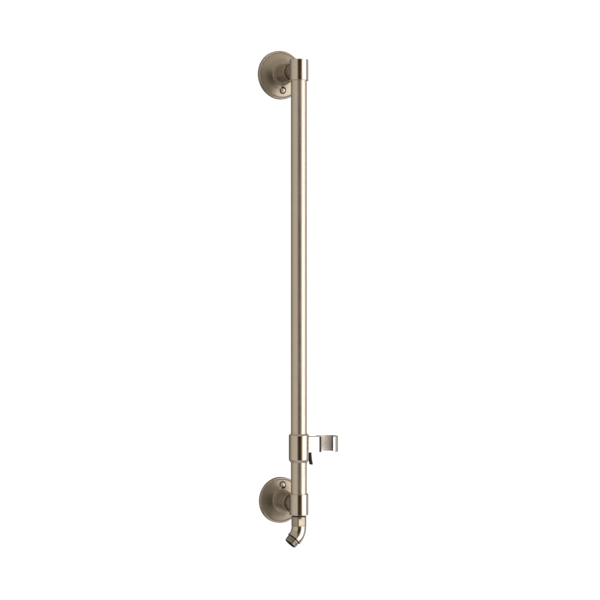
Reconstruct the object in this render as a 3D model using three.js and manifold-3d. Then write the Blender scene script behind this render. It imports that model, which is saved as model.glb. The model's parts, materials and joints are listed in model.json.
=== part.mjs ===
// Wall-mounted shower slide bar with a water inlet, a hose outlet elbow and a sliding handset holder.
// Millimetres, +Z up. The wall is the plane Y = 0 and the room is on the -Y side.
// The origin is the centre of the top flange, on the wall.

import * as THREE from 'three';
import { mergeVertices } from 'three/addons/utils/BufferGeometryUtils.js';
import Module from 'manifold-3d';

const wasm = await Module();
wasm.setup();

// Driving dimensions
const gap = 0.3; // between pieces that touch
const quarterTurn = Math.PI / 2;

const barRadius = 12.7;
const barWall = 1.5;
const barOffWall = 70; // bar axis to wall
const postSpacing = 686; // top post to bottom post
const barSeat = 7.6; // bar's foot above the bottom post's centre line
const barHeadroom = 12.4; // bar's top above the top post's centre line

const bandRadius = 15;
const bandHalf = 16.5; // half the height of a band
const neckRadius = 12.5;
const neckBore = 9.8;
const neckBack = 27.6; // neck's rear end, off the wall
const neckBoreEnd = 41.5;
const waterway = 5.5; // radius of the water passages

const topFlangeRadius = 39.1;
const bottomFlangeRadius = 37.1;
const flangeRim = 3.6; // width of the rim that meets the wall
const flangeBore = 13.7;
const bossRadius = 15.5;
const bossFront = 19.8;
const flangeScrewOut = 25; // flange screw above or below the flange's centre
const flangeScrewSide = 2.2; // and a little to the right of it
const gasketWidth = 4.2;
const plateRadius = 27;
const plateThick = 2;
const plateScrewOut = 20;
const postRadius = 13.4;
const collarBack = 22.3;
const collarFront = 45.3;
const setScrewAt = 36; // set screw, off the wall
const noseRadius = 9.5;
const noseFront = 40.5;
const noseRing = 33.5; // O-ring groove on the nose, off the wall

const sleeveRadius = 16;
const sleeveHalf = 22.5;
const sleeveLip = 1.6;
const linerRadius = 14.3;
const holderHeight = -597; // middle of the sleeve at rest

const armHalf = 6; // half the arm's thickness
const armTop = 17.4;
const armFoot = -7.3;
const cradleReach = 50; // cradle centre from the bar axis
const cradleRadius = 17.65;
const cradleTopBore = 12.9;
const cradleFootBore = 12.1;
const slotWidth = 19;
const slotTurn = THREE.MathUtils.degToRad(-115); // slot direction, from +X

const pivotX = 19.6;
const pivotZ = -4;
const leverHalf = 4;
const pocketHalf = 4.3;
const pocketTop = 7.2;
const pocketEnd = 23.2;

const washerTop = -bandHalf - 0.2;
const adapterTop = -19;
const adapterFoot = -33;
const adapterRadius = 11.85;
const flatsAcross = 21.3;
const spigotRadius = 8;
const spigotFoot = -41.5;
const elbowRadius = 11.65;
const elbowBore = 6.5;
const elbowBend = 24; // centre line radius
const elbowStraight = 2.4;
const elbowAngle = Math.PI / 4;
const nippleRadius = 10.45;
const nippleLength = 9.5;
const nippleBore = 7.2;

// Finishes
const finish = (color, roughness, metalness) => ({ color, roughness, metalness });
const nickel = finish(0xa39684, 0.3, 1);
const brightNickel = finish(0xb0a28e, 0.2, 1);
const steel = finish(0xb9bab8, 0.35, 1);
const blackRubber = finish(0x141413, 0.8, 0);
const whiteNylon = finish(0xdedcd2, 0.5, 0);
const greyFoam = finish(0x4d4d4b, 0.95, 0);
const darkPlastic = finish(0x1f1a16, 0.4, 0);

// One closed body: shared corners joined, empty triangles dropped, faces turned outwards.
function weld(geometry) {
  const bare = geometry.clone();
  bare.deleteAttribute('normal');
  bare.deleteAttribute('uv');
  const merged = mergeVertices(bare, 1e-4);
  const corners = merged.index.array;
  const place = merged.getAttribute('position');
  const a = new THREE.Vector3();
  const b = new THREE.Vector3();
  const c = new THREE.Vector3();
  const kept = [];
  let volume = 0;
  for (let i = 0; i < corners.length; i += 3) {
    const [p, q, r] = [corners[i], corners[i + 1], corners[i + 2]];
    if (p === q || q === r || r === p) continue;
    a.fromBufferAttribute(place, p);
    b.fromBufferAttribute(place, q);
    c.fromBufferAttribute(place, r);
    volume += a.dot(b.cross(c));
    kept.push(p, q, r);
  }
  merged.setIndex(volume < 0 ? kept.reverse() : kept);
  return merged;
}

function toSolid(geometry) {
  const vertProperties = new Float32Array(geometry.getAttribute('position').array);
  const triVerts = new Uint32Array(geometry.index.array);
  return new wasm.Manifold(new wasm.Mesh({ numProp: 3, vertProperties, triVerts }));
}

function toGeometry(solid) {
  const mesh = solid.getMesh();
  const geometry = new THREE.BufferGeometry();
  geometry.setAttribute('position', new THREE.BufferAttribute(mesh.vertProperties, 3));
  geometry.setIndex(new THREE.BufferAttribute(mesh.triVerts, 1));
  return geometry;
}

const join = (...pieces) => toGeometry(pieces.map(toSolid).reduce((whole, next) => whole.add(next)));
const cut = (body, ...tools) =>
  toGeometry(tools.map(toSolid).reduce((left, tool) => left.subtract(tool), toSolid(body)));

// A body of revolution from [radius, height] points, about the local Y axis.
function turned(profile, sides = 24) {
  const points = profile.map(([radius, height]) => new THREE.Vector2(radius, height));
  const onAxis = points[0].x === 0 && points.at(-1).x === 0;
  if (!onAxis) points.push(points[0].clone());
  return weld(new THREE.LatheGeometry(points, sides));
}

const outward = (profile, sides) => turned(profile, sides).rotateX(Math.PI); // heights run off the wall, to -Y
const upright = (profile, sides) => turned(profile, sides).rotateX(quarterTurn); // heights run up, to +Z
const sideways = (profile, sides) => turned(profile, sides).rotateZ(-quarterTurn); // heights run to +X

const rod = (radius, from, to) => [[0, from], [radius, from], [radius, to], [0, to]];
const tube = (inner, outer, from, to) => [[inner, from], [outer, from], [outer, to], [inner, to]];

// The profile of a round ring such as an O-ring.
function roundSection(middle, thickness, height, sides = 6) {
  const points = [];
  for (let i = 0; i < sides; i += 1) {
    const angle = (i / sides) * 2 * Math.PI;
    points.push([middle + (thickness / 2) * Math.cos(angle), height + (thickness / 2) * Math.sin(angle)]);
  }
  return points;
}

function block(x, y, z) {
  const box = new THREE.BoxGeometry(x[1] - x[0], y[1] - y[0], z[1] - z[0]);
  return weld(box).translate((x[0] + x[1]) / 2, (y[0] + y[1]) / 2, (z[0] + z[1]) / 2);
}

function piece(name, geometry, look) {
  const mesh = new THREE.Mesh(geometry, new THREE.MeshStandardMaterial(look));
  mesh.name = name;
  return mesh;
}

function place(object, x, y, z) {
  object.position.set(x, y, z);
  return object;
}

// Bracket pieces: local origin on the wall at the post's centre.

// side is -1 where the flange screw is below the post and 1 where it is above.
function flange(name, side, radius) {
  const hollow = radius - flangeRim;
  const shell = outward([
    [radius, 0], [radius, 4.6], [radius - 0.9, 5.9], [radius - 2.2, 5.9], [radius - 2.8, 5.3], [25, 7.6],
    [17.5, 10.1], [bossRadius, 11.8], [bossRadius, bossFront - 0.6], [bossRadius - 0.6, bossFront],
    [flangeBore, bossFront], [flangeBore, 8.4], [25, 4.4], [hollow, 2.6], [hollow, 0],
  ], 32);
  const seat = outward([[0, 6.2], [5.75, 6.2], [5.75, 12], [0, 12]], 16);
  const hole = outward(rod(2.5, 0, 8), 12);
  for (const tool of [seat, hole]) tool.translate(flangeScrewSide, 0, side * flangeScrewOut);
  return piece(name, cut(shell, seat, hole), nickel);
}

function flangeGasket(name, radius) {
  const edge = radius - flangeRim - gap;
  return piece(name, outward(tube(edge - gasketWidth, edge, 0, 2.3), 28), greyFoam);
}

function flangeScrew(name, side) {
  const screw = outward([
    [0, 2.6], [2.2, 2.6], [2.2, 6.5], [4.6, 6.5], [4.6, 8], [4.1, 9.2], [3, 10.3], [1.6, 10.9], [0, 11],
  ], 14);
  return place(piece(name, screw, brightNickel), flangeScrewSide, 0, side * flangeScrewOut);
}

// A wall screw with a countersunk head in the plate and its point in the wall.
function plateScrew(name, side) {
  const screw = outward([[0, -28], [1.9, -24], [1.9, 0.3], [3.4, 1.9], [0, 1.9]], 10);
  return place(piece(name, screw, steel), side * plateScrewOut, 0, 0);
}

function wallPlate(name, middle) {
  const holes = [-1, 1].map((side) => {
    const hole = outward([[0, -1], [2.2, -1], [2.2, 0.1], [4, 2], [4, 3], [0, 3]], 12);
    return hole.translate(side * plateScrewOut, 0, 0);
  });
  return piece(name, cut(middle, ...holes), steel);
}

const topPlate = () => wallPlate('top_wall_plate', outward([
  [0, 0], [plateRadius, 0], [plateRadius, plateThick], [5, plateThick], [5, 14], [0, 14],
]));

const bottomPlate = () => wallPlate('bottom_wall_plate', outward(tube(flangeBore + 0.1, plateRadius, 0, plateThick)));

// The front of a post: full width behind the collar, then a nose with an O-ring groove.
const postFront = [
  [postRadius, 27], [noseRadius, 27.4], [noseRadius, noseRing - 1], [7.8, noseRing - 1],
  [7.8, noseRing + 1], [noseRadius, noseRing + 1], [noseRadius, noseFront - 1], [noseRadius - 1, noseFront],
];

function topPost() {
  const post = outward([
    [0, 15], [5.3, 15], [5.3, plateThick + gap], [postRadius, plateThick + gap], ...postFront, [0, noseFront],
  ]);
  return piece('top_post', post, nickel);
}

function inletPost() {
  const post = outward([
    [10.5, 0], [postRadius, 0], ...postFront, [waterway, noseFront], [waterway, 16], [10.2, 14],
  ]);
  return piece('inlet_post', post, nickel);
}

function postRing(name) {
  return piece(name, outward(roundSection(8.85, 1.5, noseRing), 16), blackRubber);
}

// Direction of the set screw, on the underside and away from the cradle's front.
const setScrewTurn = -Math.PI / 4;

function collar(name) {
  const shell = outward([
    [bossRadius - 0.6, collarBack], [bossRadius, collarBack + 0.6], [bossRadius, collarFront - 0.8],
    [bossRadius - 0.8, collarFront], [neckRadius + gap, collarFront], [neckRadius + gap, 27.3],
    [postRadius + gap, 27.3], [postRadius + gap, collarBack],
  ]);
  const hole = sideways(rod(2.2, 12, 17), 10).rotateY(-setScrewTurn).translate(0, -setScrewAt, 0);
  return piece(name, cut(shell, hole), nickel);
}

function setScrew(name) {
  const screw = sideways([[0, 12.8], [1.4, 12.8], [1.9, 13.2], [1.9, 15.2], [1, 15.2], [1, 14.2], [0, 14.2]], 8);
  return place(piece(name, screw.rotateY(-setScrewTurn), steel), 0, -setScrewAt, 0);
}

// A band round the bar with a neck back to the post, before its bores are cut.
function bandBlank() {
  const band = upright([
    [0, -bandHalf], [bandRadius - 0.4, -bandHalf], [bandRadius, -bandHalf + 0.4],
    [bandRadius, bandHalf - 0.4], [bandRadius - 0.4, bandHalf], [0, bandHalf],
  ]).translate(0, -barOffWall, 0);
  return join(band, outward(rod(neckRadius, neckBack, barOffWall - 6)));
}

function topBand() {
  const barBore = upright(rod(barRadius + gap, -bandHalf - 1, bandHalf + 1)).translate(0, -barOffWall, 0);
  const noseBore = outward(rod(neckBore, neckBack - 1, neckBoreEnd), 24);
  const grubBore = outward(rod(2.6, neckBoreEnd - 1, barOffWall - 8), 10);
  return piece('top_band', cut(bandBlank(), barBore, noseBore, grubBore), brightNickel);
}

function bottomBand() {
  const seatBore = upright(rod(barRadius + gap, barSeat - gap, bandHalf + 1)).translate(0, -barOffWall, 0);
  const noseBore = outward(rod(neckBore, neckBack - 1, neckBoreEnd), 24);
  const crossBore = outward(rod(waterway, neckBoreEnd - 1, barOffWall), 16);
  const downBore = upright([
    [0, -bandHalf - 1], [9.7, -bandHalf - 1], [9.7, -6.5], [waterway, -6.5], [waterway, 0], [0, 0],
  ], 20).translate(0, -barOffWall, 0);
  return piece('bottom_band', cut(bandBlank(), seatBore, noseBore, crossBore, downBore), brightNickel);
}

function barGrub() {
  const screw = outward([[0, 44], [1, 44], [1, 42.4], [2.3, 42.4], [2.3, 56.4], [1.6, 57], [0, 57]], 8);
  return piece('bar_grub_screw', screw, steel);
}

function topCap() {
  const cap = upright([
    [0, 2], [10.9, 2], [10.9, 12.7], [barRadius, 12.7], [barRadius, 16.3], [12.1, 16.9], [0, 17.3],
  ], 24);
  return place(piece('bar_top_cap', cap, nickel), 0, -barOffWall, 0);
}

function topBracket() {
  const bracket = new THREE.Group();
  bracket.add(
    topPlate(),
    plateScrew('top_plate_screw_left', -1),
    plateScrew('top_plate_screw_right', 1),
    flange('top_flange', -1, topFlangeRadius),
    flangeGasket('top_flange_gasket', topFlangeRadius),
    flangeScrew('top_flange_screw', -1),
    topPost(),
    postRing('top_post_ring'),
    collar('top_collar'),
    setScrew('top_set_screw'),
    topBand(),
    barGrub(),
    topCap(),
  );
  return bracket;
}

// Outlet pieces: local origin on the bar axis at the bottom post's height.

function outletWasher() {
  return piece('outlet_washer', upright(tube(9.9, 11.2, adapterTop + 0.2, washerTop), 20), blackRubber);
}

// Screwed up into the band, with two wrench flats and a spigot that the elbow turns on.
function outletAdapter() {
  const blank = upright([
    [waterway, -8], [waterway, spigotFoot], [spigotRadius - 0.5, spigotFoot], [spigotRadius, spigotFoot + 0.5],
    [spigotRadius, -40], [6.9, -40], [6.9, -38.4], [spigotRadius, -38.4], [spigotRadius, -37.2], [6.6, -37.2],
    [6.6, -35.2], [spigotRadius, -35.2], [spigotRadius, adapterFoot], [adapterRadius, adapterFoot],
    [adapterRadius, adapterTop + 0.6], [adapterRadius - 0.6, adapterTop], [9.4, adapterTop], [9.4, -8.6], [8.8, -8],
  ], 20);
  const flats = [-1, 1].map((side) => {
    const near = side * (flatsAcross / 2);
    const far = side * (adapterRadius + 1);
    return block([-13, 13], [Math.min(near, far), Math.max(near, far)], [adapterFoot - 0.5, -22.2]);
  });
  return piece('outlet_adapter', cut(blank, ...flats), brightNickel);
}

function swivelRing() {
  return piece('swivel_o_ring', upright(roundSection(7.45, 1.3, -36.2), 16), blackRubber);
}

// A split ring that holds the elbow on the spigot.
function swivelClip() {
  const ring = upright(tube(7.2, 8.8, -39.7, -38.7), 16);
  return piece('swivel_clip', cut(ring, block([6, 10], [-1.5, 1.5], [-41, -37])), steel);
}

// The elbow's centre line: down, round the bend to -X, and a short way on.
function elbowStops() {
  const top = adapterFoot - gap;
  const bendTop = top - elbowStraight;
  const steps = 6;
  const stops = [new THREE.Vector3(0, 0, top)];
  for (let i = 0; i <= steps; i += 1) {
    const angle = (i / steps) * elbowAngle;
    const inward = elbowBend * (1 - Math.cos(angle));
    stops.push(new THREE.Vector3(-inward, 0, bendTop - elbowBend * Math.sin(angle)));
  }
  const out = new THREE.Vector3(-Math.sin(elbowAngle), 0, -Math.cos(elbowAngle));
  stops.push(stops.at(-1).clone().addScaledVector(out, elbowStraight));
  return stops;
}

// A round bar of the given radius through a list of stops, all in the plane Y = 0, mitred at each stop.
function bentRod(radius, stops, sides = 20) {
  const rings = stops.map((stop, i) => {
    const back = i > 0 ? stop.clone().sub(stops[i - 1]).normalize() : null;
    const ahead = i < stops.length - 1 ? stops[i + 1].clone().sub(stop).normalize() : null;
    const along = new THREE.Vector3().add(back ?? ahead).add(ahead ?? back).normalize();
    const across = new THREE.Vector3(-along.z, 0, along.x);
    const stretch = back && ahead ? 1 / along.dot(ahead) : 1;
    const ring = [];
    for (let k = 0; k < sides; k += 1) {
      const angle = (k / sides) * 2 * Math.PI;
      const point = stop.clone().addScaledVector(across, radius * stretch * Math.cos(angle));
      point.y += radius * Math.sin(angle);
      ring.push(point);
    }
    return ring;
  });
  const points = [...rings.flat(), stops[0], stops.at(-1)];
  const faces = [];
  const last = rings.length - 1;
  const headPoint = rings.length * sides;
  for (let k = 0; k < sides; k += 1) {
    const next = (k + 1) % sides;
    for (let i = 0; i < last; i += 1) {
      const [p, q] = [i * sides + k, i * sides + next];
      faces.push(p, q, q + sides, p, q + sides, p + sides);
    }
    faces.push(headPoint, next, k, headPoint + 1, last * sides + k, last * sides + next);
  }
  const geometry = new THREE.BufferGeometry().setFromPoints(points);
  geometry.setIndex(faces);
  return weld(geometry);
}

// Pieces on the outlet's own axis are turned about local Z, with 0 at the elbow's end face and + outwards.
function alongOutlet(profile, sides) {
  const end = elbowStops().at(-1);
  return upright(profile, sides).rotateX(Math.PI).rotateY(elbowAngle).translate(end.x, end.y, end.z);
}

function outletElbow() {
  const outside = bentRod(elbowRadius, elbowStops());
  const lip = alongOutlet([[0, -2], [11.2, -2], [12.1, -1.5], [12.1, -0.3], [11.8, 0], [0, 0]], 20);
  const inside = bentRod(elbowBore, elbowStops(), 12);
  const spigotBore = upright([
    [0, adapterFoot + 1], [spigotRadius + gap, adapterFoot + 1], [spigotRadius + gap, -38.3], [9.1, -38.3],
    [9.1, -40.1], [spigotRadius + gap, -40.1], [spigotRadius + gap, spigotFoot - gap], [0, spigotFoot - gap],
  ], 20);
  const nippleSocket = alongOutlet([[0, -7], [8.9, -7], [8.9, 1], [0, 1]], 20);
  return piece('outlet_elbow', cut(join(outside, lip), inside, spigotBore, nippleSocket), brightNickel);
}

function outletNipple() {
  const nipple = alongOutlet([
    [nippleBore, -6.6], [8.6, -6.6], [8.6, gap], [9.6, gap], [9.6, 1.6], [nippleRadius, 2.4],
    [nippleRadius, nippleLength - 1], [nippleRadius - 0.9, nippleLength], [nippleBore, nippleLength],
  ], 20);
  return piece('outlet_nipple', nipple, nickel);
}

// A spring-loaded cartridge that stops dirty water from running back.
function checkValve() {
  const valve = alongOutlet([
    [0, -4], [2.5, -4], [2.5, -1.5], [4.6, -0.5], [4.6, -5.6], [6.9, -5.6], [6.9, 4], [5.6, 4],
    [5.6, 0.8], [1.2, 0.8], [1.2, 3], [0, 3],
  ], 16);
  return piece('check_valve', valve, darkPlastic);
}

function outlet() {
  const group = new THREE.Group();
  group.add(
    outletWasher(), outletAdapter(), swivelRing(), swivelClip(), outletElbow(), outletNipple(), checkValve(),
  );
  return group;
}

function bottomBracket() {
  const bracket = new THREE.Group();
  bracket.add(
    bottomPlate(),
    plateScrew('bottom_plate_screw_left', -1),
    plateScrew('bottom_plate_screw_right', 1),
    flange('bottom_flange', 1, bottomFlangeRadius),
    flangeGasket('bottom_flange_gasket', bottomFlangeRadius),
    flangeScrew('bottom_flange_screw', 1),
    inletPost(),
    postRing('inlet_post_ring'),
    collar('bottom_collar'),
    setScrew('bottom_set_screw'),
    bottomBand(),
    place(outlet(), 0, -barOffWall, 0),
  );
  return bracket;
}

// Bar pieces: local origin on the bar axis at the top post's height.

function barTube() {
  return piece('bar_tube', upright(tube(barRadius - barWall, barRadius, barSeat - postSpacing, barHeadroom)), nickel);
}

function barPlug() {
  const foot = barSeat - postSpacing;
  const plug = upright([
    [0, foot + 0.2], [10.9, foot + 0.2], [10.9, foot + 4], [9.3, foot + 4], [9.3, foot + 6.2], [10.9, foot + 6.2],
    [10.9, foot + 11], [9.9, foot + 12], [0, foot + 12],
  ], 20);
  return piece('bar_plug', plug, whiteNylon);
}

function barPlugRing() {
  return piece('bar_plug_ring', upright(roundSection(10.25, 1.4, barSeat - postSpacing + 5.1), 16), blackRubber);
}

// Holder pieces: local origin on the bar axis at the middle of the sleeve. The arm points to +X.

function sleeve() {
  const lipBore = barRadius + gap;
  const pocketBore = linerRadius + gap;
  const shell = upright([
    [lipBore, -sleeveHalf], [lipBore + 0.6, -sleeveHalf], [sleeveRadius, -sleeveHalf + 3],
    [sleeveRadius, sleeveHalf - 3], [lipBore + 0.6, sleeveHalf], [lipBore, sleeveHalf],
    [lipBore, sleeveHalf - sleeveLip], [pocketBore, sleeveHalf - sleeveLip],
    [pocketBore, -sleeveHalf + sleeveLip], [lipBore, -sleeveHalf + sleeveLip],
  ]);
  const window = block([12, 18], [-pocketHalf, pocketHalf], [0.2, 6.6]);
  const screwHole = sideways([[0, 13], [3.8, 13], [3.8, 14.8], [2.3, 16.2], [2.3, 18], [0, 18]], 12);
  return piece('holder_sleeve', cut(shell, window, screwHole.translate(0, 0, 12.3)), brightNickel);
}

// A split nylon bush between the bar and the sleeve.
function liner(name, foot) {
  const bush = upright(tube(barRadius + gap, linerRadius, foot, foot + 12));
  const split = block([-16, -11], [-1, 1], [foot - 1, foot + 13]);
  return piece(name, cut(bush, split), whiteNylon);
}

// The arm and its C-shaped cradle, with a pocket below for the lever.
function arm() {
  const bar = block([8, cradleReach - 6], [-armHalf, armHalf], [armFoot, armTop]);
  const ring = upright([
    [0, armFoot], [cradleRadius - 0.5, armFoot], [cradleRadius, armFoot + 0.5],
    [cradleRadius, armTop - 0.5], [cradleRadius - 0.5, armTop], [0, armTop],
  ], 40).translate(cradleReach, 0, 0);
  const bore = upright([
    [0, armFoot - 1], [cradleFootBore + 0.8, armFoot - 1], [cradleFootBore + 0.8, armFoot],
    [cradleFootBore, armFoot + 0.8], [cradleTopBore, armTop - 0.8], [cradleTopBore + 0.8, armTop],
    [cradleTopBore + 0.8, armTop + 1], [0, armTop + 1],
  ], 40).translate(cradleReach, 0, 0);
  const slot = block([0, cradleRadius + 4], [-slotWidth / 2, slotWidth / 2], [armFoot - 1, armTop + 1]);
  slot.rotateZ(slotTurn).translate(cradleReach, 0, 0);
  const seat = upright(rod(sleeveRadius + gap, armFoot - 1, armTop + 1), 40);
  const pocket = block([10, pocketEnd], [-pocketHalf, pocketHalf], [armFoot - 1, pocketTop]);
  const pinHole = outward(rod(1.45, -7, 5.1), 12).translate(pivotX, 0, pivotZ);
  const screwHole = sideways(rod(2.1, 12, 28), 12).translate(0, 0, 12.3);
  const solid = cut(join(bar, ring), bore, slot, seat, pocket, pinHole, screwHole);
  return piece('holder_arm', solid, brightNickel);
}

function armScrew() {
  const screw = sideways([[0, 14.8], [3.3, 14.8], [1.8, 16.2], [1.8, 26], [1.2, 27], [0, 27]], 10);
  return place(piece('arm_screw', screw, steel), 0, 0, 12.3);
}

// The lever under the arm: a tapered blade below, a hub on the pin, and a nose behind the brake shoe.
function lever() {
  const outline = new THREE.Shape();
  outline.moveTo(20.4, -27);
  outline.lineTo(22, -26.6);
  outline.lineTo(20.6, -8.4);
  outline.lineTo(22.2, -5);
  outline.lineTo(22.2, -3);
  outline.lineTo(20.5, 4.2);
  outline.lineTo(18, 4.6);
  outline.lineTo(17.6, 3.4);
  outline.lineTo(16.9, -3.5);
  outline.lineTo(16.9, -7.6);
  outline.closePath();
  const blank = weld(new THREE.ExtrudeGeometry(outline, { depth: 2 * leverHalf, bevelEnabled: false }));
  blank.rotateX(quarterTurn).translate(0, leverHalf, 0);
  const pinBore = outward(rod(1.65, -9, 9), 12).translate(pivotX, 0, pivotZ);
  const springRoom = block([10, 30], [0, leverHalf + 1], [pivotZ - 3.2, 10]);
  return piece('trigger_lever', cut(blank, pinBore, springRoom), darkPlastic);
}

function leverPin() {
  const pin = outward([[0, -5.7], [1.15, -5.7], [1.15, 4.8], [0, 4.8]], 10);
  return place(piece('trigger_pin', pin, steel), pivotX, 0, pivotZ);
}

// A torsion spring round the pin, with one leg up the pocket and one along the lever.
function leverSpring() {
  const coilRadius = 2.3;
  const turns = 3;
  const stepsPerTurn = 10;
  const rise = 0.85;
  const first = 0.8;
  const points = [new THREE.Vector3(pivotX + coilRadius, first, pivotZ + 7)];
  for (let i = 0; i <= turns * stepsPerTurn; i += 1) {
    const angle = (i / stepsPerTurn) * 2 * Math.PI;
    const x = pivotX + coilRadius * Math.cos(angle);
    const z = pivotZ - coilRadius * Math.sin(angle);
    points.push(new THREE.Vector3(x, first + (rise * i) / stepsPerTurn, z));
  }
  const wire = new THREE.Shape().absarc(0, 0, 0.35, 0, 2 * Math.PI);
  const path = new THREE.CatmullRomCurve3(points);
  const steps = 34;
  const spring = new THREE.ExtrudeGeometry(wire, { steps, extrudePath: path, curveSegments: 3, bevelEnabled: false });
  return piece('trigger_spring', weld(spring), steel);
}

// A nylon pad that the lever's spring holds against the bar.
function brakeShoe() {
  const pad = block([10, 16.9], [-leverHalf, leverHalf], [0.5, 6.3]);
  const face = upright(rod(barRadius + gap, 0, 7), 40);
  return piece('brake_shoe', cut(pad, face), whiteNylon);
}

function holder() {
  const group = new THREE.Group();
  group.add(
    liner('upper_liner', 8.4), liner('lower_liner', -20.4), sleeve(), arm(), armScrew(),
    lever(), leverPin(), leverSpring(), brakeShoe(),
  );
  return group;
}

const slideBar = new THREE.Group();
slideBar.add(
  topBracket(),
  place(bottomBracket(), 0, 0, -postSpacing),
  place(new THREE.Group().add(barTube(), barPlug(), barPlugRing()), 0, -barOffWall, 0),
  place(holder(), 0, -barOffWall, holderHeight),
);

export default slideBar;
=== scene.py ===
import json
import math

import bmesh
import bpy
from mathutils import Matrix, Vector


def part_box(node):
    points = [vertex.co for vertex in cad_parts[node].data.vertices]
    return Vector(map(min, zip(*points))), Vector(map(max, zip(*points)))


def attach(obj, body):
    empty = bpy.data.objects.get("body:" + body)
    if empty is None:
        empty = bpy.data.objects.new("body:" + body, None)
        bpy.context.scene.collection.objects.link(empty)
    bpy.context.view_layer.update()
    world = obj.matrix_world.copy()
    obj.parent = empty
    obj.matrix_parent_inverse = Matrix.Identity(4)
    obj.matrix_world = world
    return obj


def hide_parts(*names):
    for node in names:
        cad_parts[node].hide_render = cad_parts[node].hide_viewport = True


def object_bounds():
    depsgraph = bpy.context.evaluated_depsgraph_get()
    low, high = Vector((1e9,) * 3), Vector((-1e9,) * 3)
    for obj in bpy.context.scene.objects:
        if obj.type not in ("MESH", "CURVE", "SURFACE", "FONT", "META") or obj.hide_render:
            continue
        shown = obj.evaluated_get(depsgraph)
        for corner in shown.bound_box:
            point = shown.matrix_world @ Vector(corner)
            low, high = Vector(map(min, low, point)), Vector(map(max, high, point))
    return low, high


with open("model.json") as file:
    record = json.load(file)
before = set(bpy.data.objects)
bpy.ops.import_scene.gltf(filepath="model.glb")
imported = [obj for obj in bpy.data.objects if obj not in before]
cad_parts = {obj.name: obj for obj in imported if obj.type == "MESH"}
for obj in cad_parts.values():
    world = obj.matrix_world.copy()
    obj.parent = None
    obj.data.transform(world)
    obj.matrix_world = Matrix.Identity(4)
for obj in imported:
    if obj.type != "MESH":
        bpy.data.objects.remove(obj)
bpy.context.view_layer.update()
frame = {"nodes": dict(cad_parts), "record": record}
mm = 0.001

# Places worked out from the frame

def middle(node):
    low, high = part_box(node)
    return (low + high) / 2

barLow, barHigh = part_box("bar_tube")
barX = (barLow.x + barHigh.x) / 2
barY = (barLow.y + barHigh.y) / 2
barRadius = (barHigh.x - barLow.x) / 2
topPost = Vector((middle("top_band").x, 0, middle("top_band").z))
bottomPost = Vector((middle("bottom_band").x, 0, middle("bottom_band").z))
sleeveMiddle = middle("holder_sleeve")
print("frame loaded, posts", round((topPost.z - bottomPost.z) / mm), "mm apart")

# Mesh tools

def smooth(piece, angle=32):
    mesh = bmesh.new()
    mesh.from_mesh(piece.data)
    bmesh.ops.remove_doubles(mesh, verts=mesh.verts, dist=1e-7)
    bmesh.ops.recalc_face_normals(mesh, faces=mesh.faces)
    for face in mesh.faces:
        face.smooth = True
    for edge in mesh.edges:
        edge.smooth = len(edge.link_faces) != 2 or edge.calc_face_angle(0) < math.radians(angle)
    mesh.to_mesh(piece.data)
    mesh.free()
    return piece


def newPiece(name, points, faces, where):
    mesh = bpy.data.meshes.new(name)
    mesh.from_pydata(points, [], faces)
    mesh.update()
    piece = bpy.data.objects.new(name, mesh)
    bpy.context.scene.collection.objects.link(piece)
    piece.matrix_world = where
    return piece


def settle(piece):
    # turns the modifiers into plain mesh
    ready = piece.evaluated_get(bpy.context.evaluated_depsgraph_get())
    mesh = bpy.data.meshes.new_from_object(ready)
    piece.modifiers.clear()
    piece.data = mesh
    return piece


def carve(piece, *tools, how="DIFFERENCE"):
    for tool in tools:
        step = piece.modifiers.new("carve", "BOOLEAN")
        step.solver = "EXACT"
        step.operation = how
        step.object = tool
        settle(piece)
        bpy.data.objects.remove(tool)
    return piece


def softenEdges(piece, width, segments=4, angle=35):
    step = piece.modifiers.new("soften", "BEVEL")
    step.width = width * mm
    step.segments = segments
    step.limit_method = "ANGLE"
    step.angle_limit = math.radians(angle)
    step.use_clamp_overlap = True
    return settle(piece)


def rounded(corners, steps=5):
    # corners are (radius, height, fillet) in mm, in order round the section
    points = []
    count = len(corners)
    for index, (radius, height, size) in enumerate(corners):
        here = Vector((radius, height))
        if not size:
            points.append(here)
            continue
        before = Vector(corners[index - 1][:2]) - here
        after = Vector(corners[(index + 1) % count][:2]) - here
        start = here + before.normalized() * min(size, before.length * 0.5)
        end = here + after.normalized() * min(size, after.length * 0.5)
        for step in range(steps + 1):
            t = step / steps
            points.append(start * (1 - t) ** 2 + here * 2 * t * (1 - t) + end * t * t)
    return points


def turned(name, corners, where, sides=128, wave=None):
    # a turned piece about its own local Z; wave(height, angle) adds to the radius, for threads
    points, rings, faces = [], [], []
    for radius, height in (tuple(p) for p in rounded(corners)):
        if radius < 1e-6:
            rings.append([len(points)] * sides)
            points.append((0, 0, height * mm))
            continue
        rings.append(list(range(len(points), len(points) + sides)))
        for side in range(sides):
            angle = side / sides * math.tau
            reach = (radius + (wave(radius, height, angle) if wave else 0)) * mm
            points.append((reach * math.cos(angle), reach * math.sin(angle), height * mm))
    closed = corners[0][0] > 0 or corners[-1][0] > 0
    pairs = list(zip(rings, rings[1:])) + ([(rings[-1], rings[0])] if closed else [])
    for lower, upper in pairs:
        for side in range(sides):
            after = (side + 1) % sides
            face = [lower[side], lower[after], upper[after], upper[side]]
            face = list(dict.fromkeys(face))
            if len(face) > 2:
                faces.append(face)
    return smooth(newPiece(name, points, faces, where))


def prism(name, outline, low, high, where):
    count = len(outline)
    points = [(x * mm, y * mm, height * mm) for height in (low, high) for x, y in outline]
    faces = [list(range(count))[::-1], list(range(count, 2 * count))]
    for index in range(count):
        after = (index + 1) % count
        faces.append([index, after, after + count, index + count])
    return newPiece(name, points, faces, where)


def arc(centre, radius, start, end, steps):
    angles = [math.radians(start + (end - start) * step / steps) for step in range(steps + 1)]
    return [(centre[0] + radius * math.cos(a), centre[1] + radius * math.sin(a)) for a in angles]


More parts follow.
